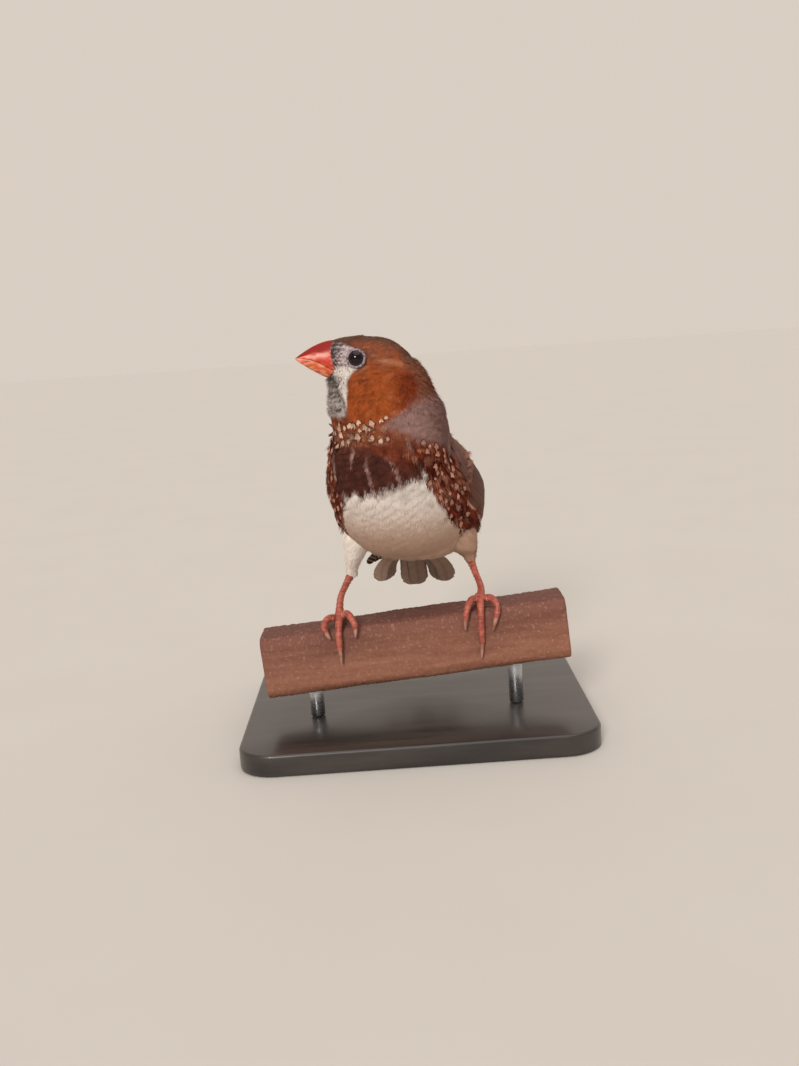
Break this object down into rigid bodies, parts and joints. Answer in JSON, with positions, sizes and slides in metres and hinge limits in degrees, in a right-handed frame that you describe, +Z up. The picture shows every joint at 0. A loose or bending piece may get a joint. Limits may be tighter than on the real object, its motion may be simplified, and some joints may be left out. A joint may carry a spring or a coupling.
{
  "type": "zebra finch display model",
  "caption": "Life-size still model of a male zebra finch gripping a short cut batten on a small display stand.",
  "frame": {"origin": "middle of the display base's flat underside", "axes": "+Z up, the bird's breast towards -Y and its left side towards +X, so its turned head looks towards -X"},
  "size_m": [0.096, 0.09, 0.1112],
  "materials": {
    "belly_plumage": "soft matte down",
    "mantle_plumage": "soft matte feathers",
    "cheek_plumage": "soft matte feathers",
    "wing_feather": "smooth matte feather vanes",
    "tail_feather": "smooth matte feather vanes",
    "bill": "waxy satin horn",
    "eye": "wet gloss",
    "leg_skin": "satin ringed scutes",
    "claw": "satin horn",
    "perch_wood": "rough stained wood",
    "stand_board": "dark satin lacquer",
    "stand_metal": "brushed"
  },
  "bodies": {
    "root": {"torso": "belly_plumage", "neck": "mantle_plumage", "head": "cheek_plumage", "bill_upper": "bill", "bill_lower": "bill", "eye_left": "eye", "eye_right": "eye", "wing_left": "wing_feather", "wing_right": "wing_feather", "tail": "tail_feather", "thigh_right": "belly_plumage", "shank_right": "leg_skin", "foot_right": "leg_skin", "claw_right_1": "claw", "claw_right_2": "claw", "claw_right_3": "claw", "claw_right_4": "claw", "thigh_left": "belly_plumage", "shank_left": "leg_skin", "foot_left": "leg_skin", "claw_left_1": "claw", "claw_left_2": "claw", "claw_left_3": "claw", "claw_left_4": "claw", "perch": "perch_wood", "stand_base": "stand_board", "stand_rod_left": "stand_metal", "stand_rod_right": "stand_metal"}
  },
  "joints": []
}
